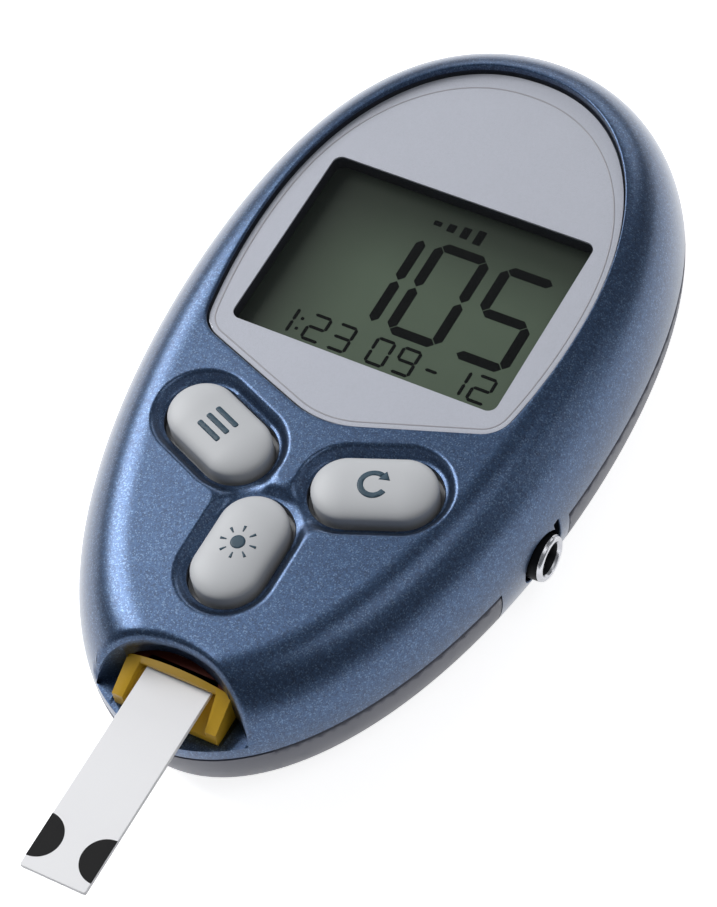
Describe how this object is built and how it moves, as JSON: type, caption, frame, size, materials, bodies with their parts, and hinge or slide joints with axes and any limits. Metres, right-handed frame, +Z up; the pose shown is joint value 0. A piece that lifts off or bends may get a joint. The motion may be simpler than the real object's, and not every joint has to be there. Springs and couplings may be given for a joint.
{
  "type": "blood glucose meter",
  "caption": "Egg-shaped pocket glucose meter with a display behind a clear lens, three sprung buttons, a strip port with its strip, a data jack and a sliding battery door.",
  "frame": {"origin": "middle of the flat base, on the surface that the meter lies on", "axes": "+X to the right of the upright display, +Y towards the head, away from the strip port, +Z up through the display"},
  "size_m": [0.041, 0.089, 0.016],
  "materials": {
    "case_blue": "metallic flake blue, satin",
    "case_grey": "dark grey, fine grain",
    "lens_clear": "clear moulded plastic",
    "mask_grey": "light grey print",
    "adhesive": "black film",
    "display_glass": "liquid crystal glass, green grey",
    "polariser": "grey film",
    "panel_white": "white light guide",
    "frame_black": "black, matt",
    "elastomer": "banded grey rubber",
    "board_green": "green solder mask",
    "contact_gold": "gold plated",
    "keypad_rubber": "silicone rubber",
    "carbon": "carbon rubber",
    "key_grey": "light grey, satin",
    "guide_yellow": "yellow, semi gloss",
    "connector_black": "black, matt",
    "strip_white": "white film with black marks",
    "ring_chrome": "polished nickel plate",
    "cell_steel": "stainless steel",
    "cell_core": "dark pellet",
    "cell_seal": "moulded seal",
    "screw_steel": "zinc plated steel",
    "label_silver": "blank silver grey label",
    "chip_black": "moulded package",
    "capacitor_tan": "ceramic"
  },
  "bodies": {
    "case": {"upper_case": "case_blue", "lower_case": "case_grey", "display_lens": "lens_clear", "lens_mask": "mask_grey", "lens_adhesive": "adhesive", "front_polariser": "polariser", "lcd_front_glass": "display_glass", "lcd_rear_glass": "display_glass", "rear_polariser": "polariser", "backlight_panel": "panel_white", "backlight_lamp": "panel_white", "display_frame": "frame_black", "elastomer_connector": "elastomer", "circuit_board": "board_green", "key_contact_pads": "contact_gold", "keypad_mat": "keypad_rubber", "menu_web": "keypad_rubber", "select_web": "keypad_rubber", "light_web": "keypad_rubber", "strip_port_guide": "guide_yellow", "strip_connector": "connector_black", "strip_contacts": "contact_gold", "jack_ring": "ring_chrome", "jack_body": "connector_black", "jack_contacts": "contact_gold", "coin_cell_can": "cell_steel", "coin_cell_core": "cell_core", "coin_cell_gasket": "cell_seal", "coin_cell_cap": "cell_steel", "positive_contact": "contact_gold", "negative_contact": "contact_gold", "case_screws": "screw_steel", "rating_label": "label_silver", "buzzer": "chip_black", "processor_chip": "chip_black", "analogue_chip": "chip_black", "quartz_crystal": "cell_steel", "capacitors": "capacitor_tan", "resistors": "chip_black", "thermistor": "chip_black"},
    "menu_key": {"menu_button": "key_grey", "menu_pill": "carbon"},
    "select_key": {"select_button": "key_grey", "select_pill": "carbon"},
    "light_key": {"light_button": "key_grey", "light_pill": "carbon"},
    "door": {"battery_door": "case_grey"},
    "strip": {"test_strip": "strip_white"}
  },
  "joints": [
    {"name": "menu_press", "type": "slide", "parent": "case", "child": "menu_key", "axis": [0, 0, -1], "range_m": [0, 0.0006], "stiffness_N_per_m": 600, "deforming": ["menu_web"]},
    {"name": "select_press", "type": "slide", "parent": "case", "child": "select_key", "axis": [0, 0, -1], "range_m": [0, 0.0006], "stiffness_N_per_m": 600, "deforming": ["select_web"]},
    {"name": "light_press", "type": "slide", "parent": "case", "child": "light_key", "axis": [0, 0, -1], "range_m": [0, 0.0006], "stiffness_N_per_m": 600, "deforming": ["light_web"]},
    {"name": "door_slide", "type": "slide", "parent": "case", "child": "door", "axis": [0, 1, 0], "range_m": [0, 0.026]},
    {"name": "strip_pull", "type": "slide", "parent": "case", "child": "strip", "axis": [0, -1, 0], "range_m": [0, 0.0155]}
  ]
}
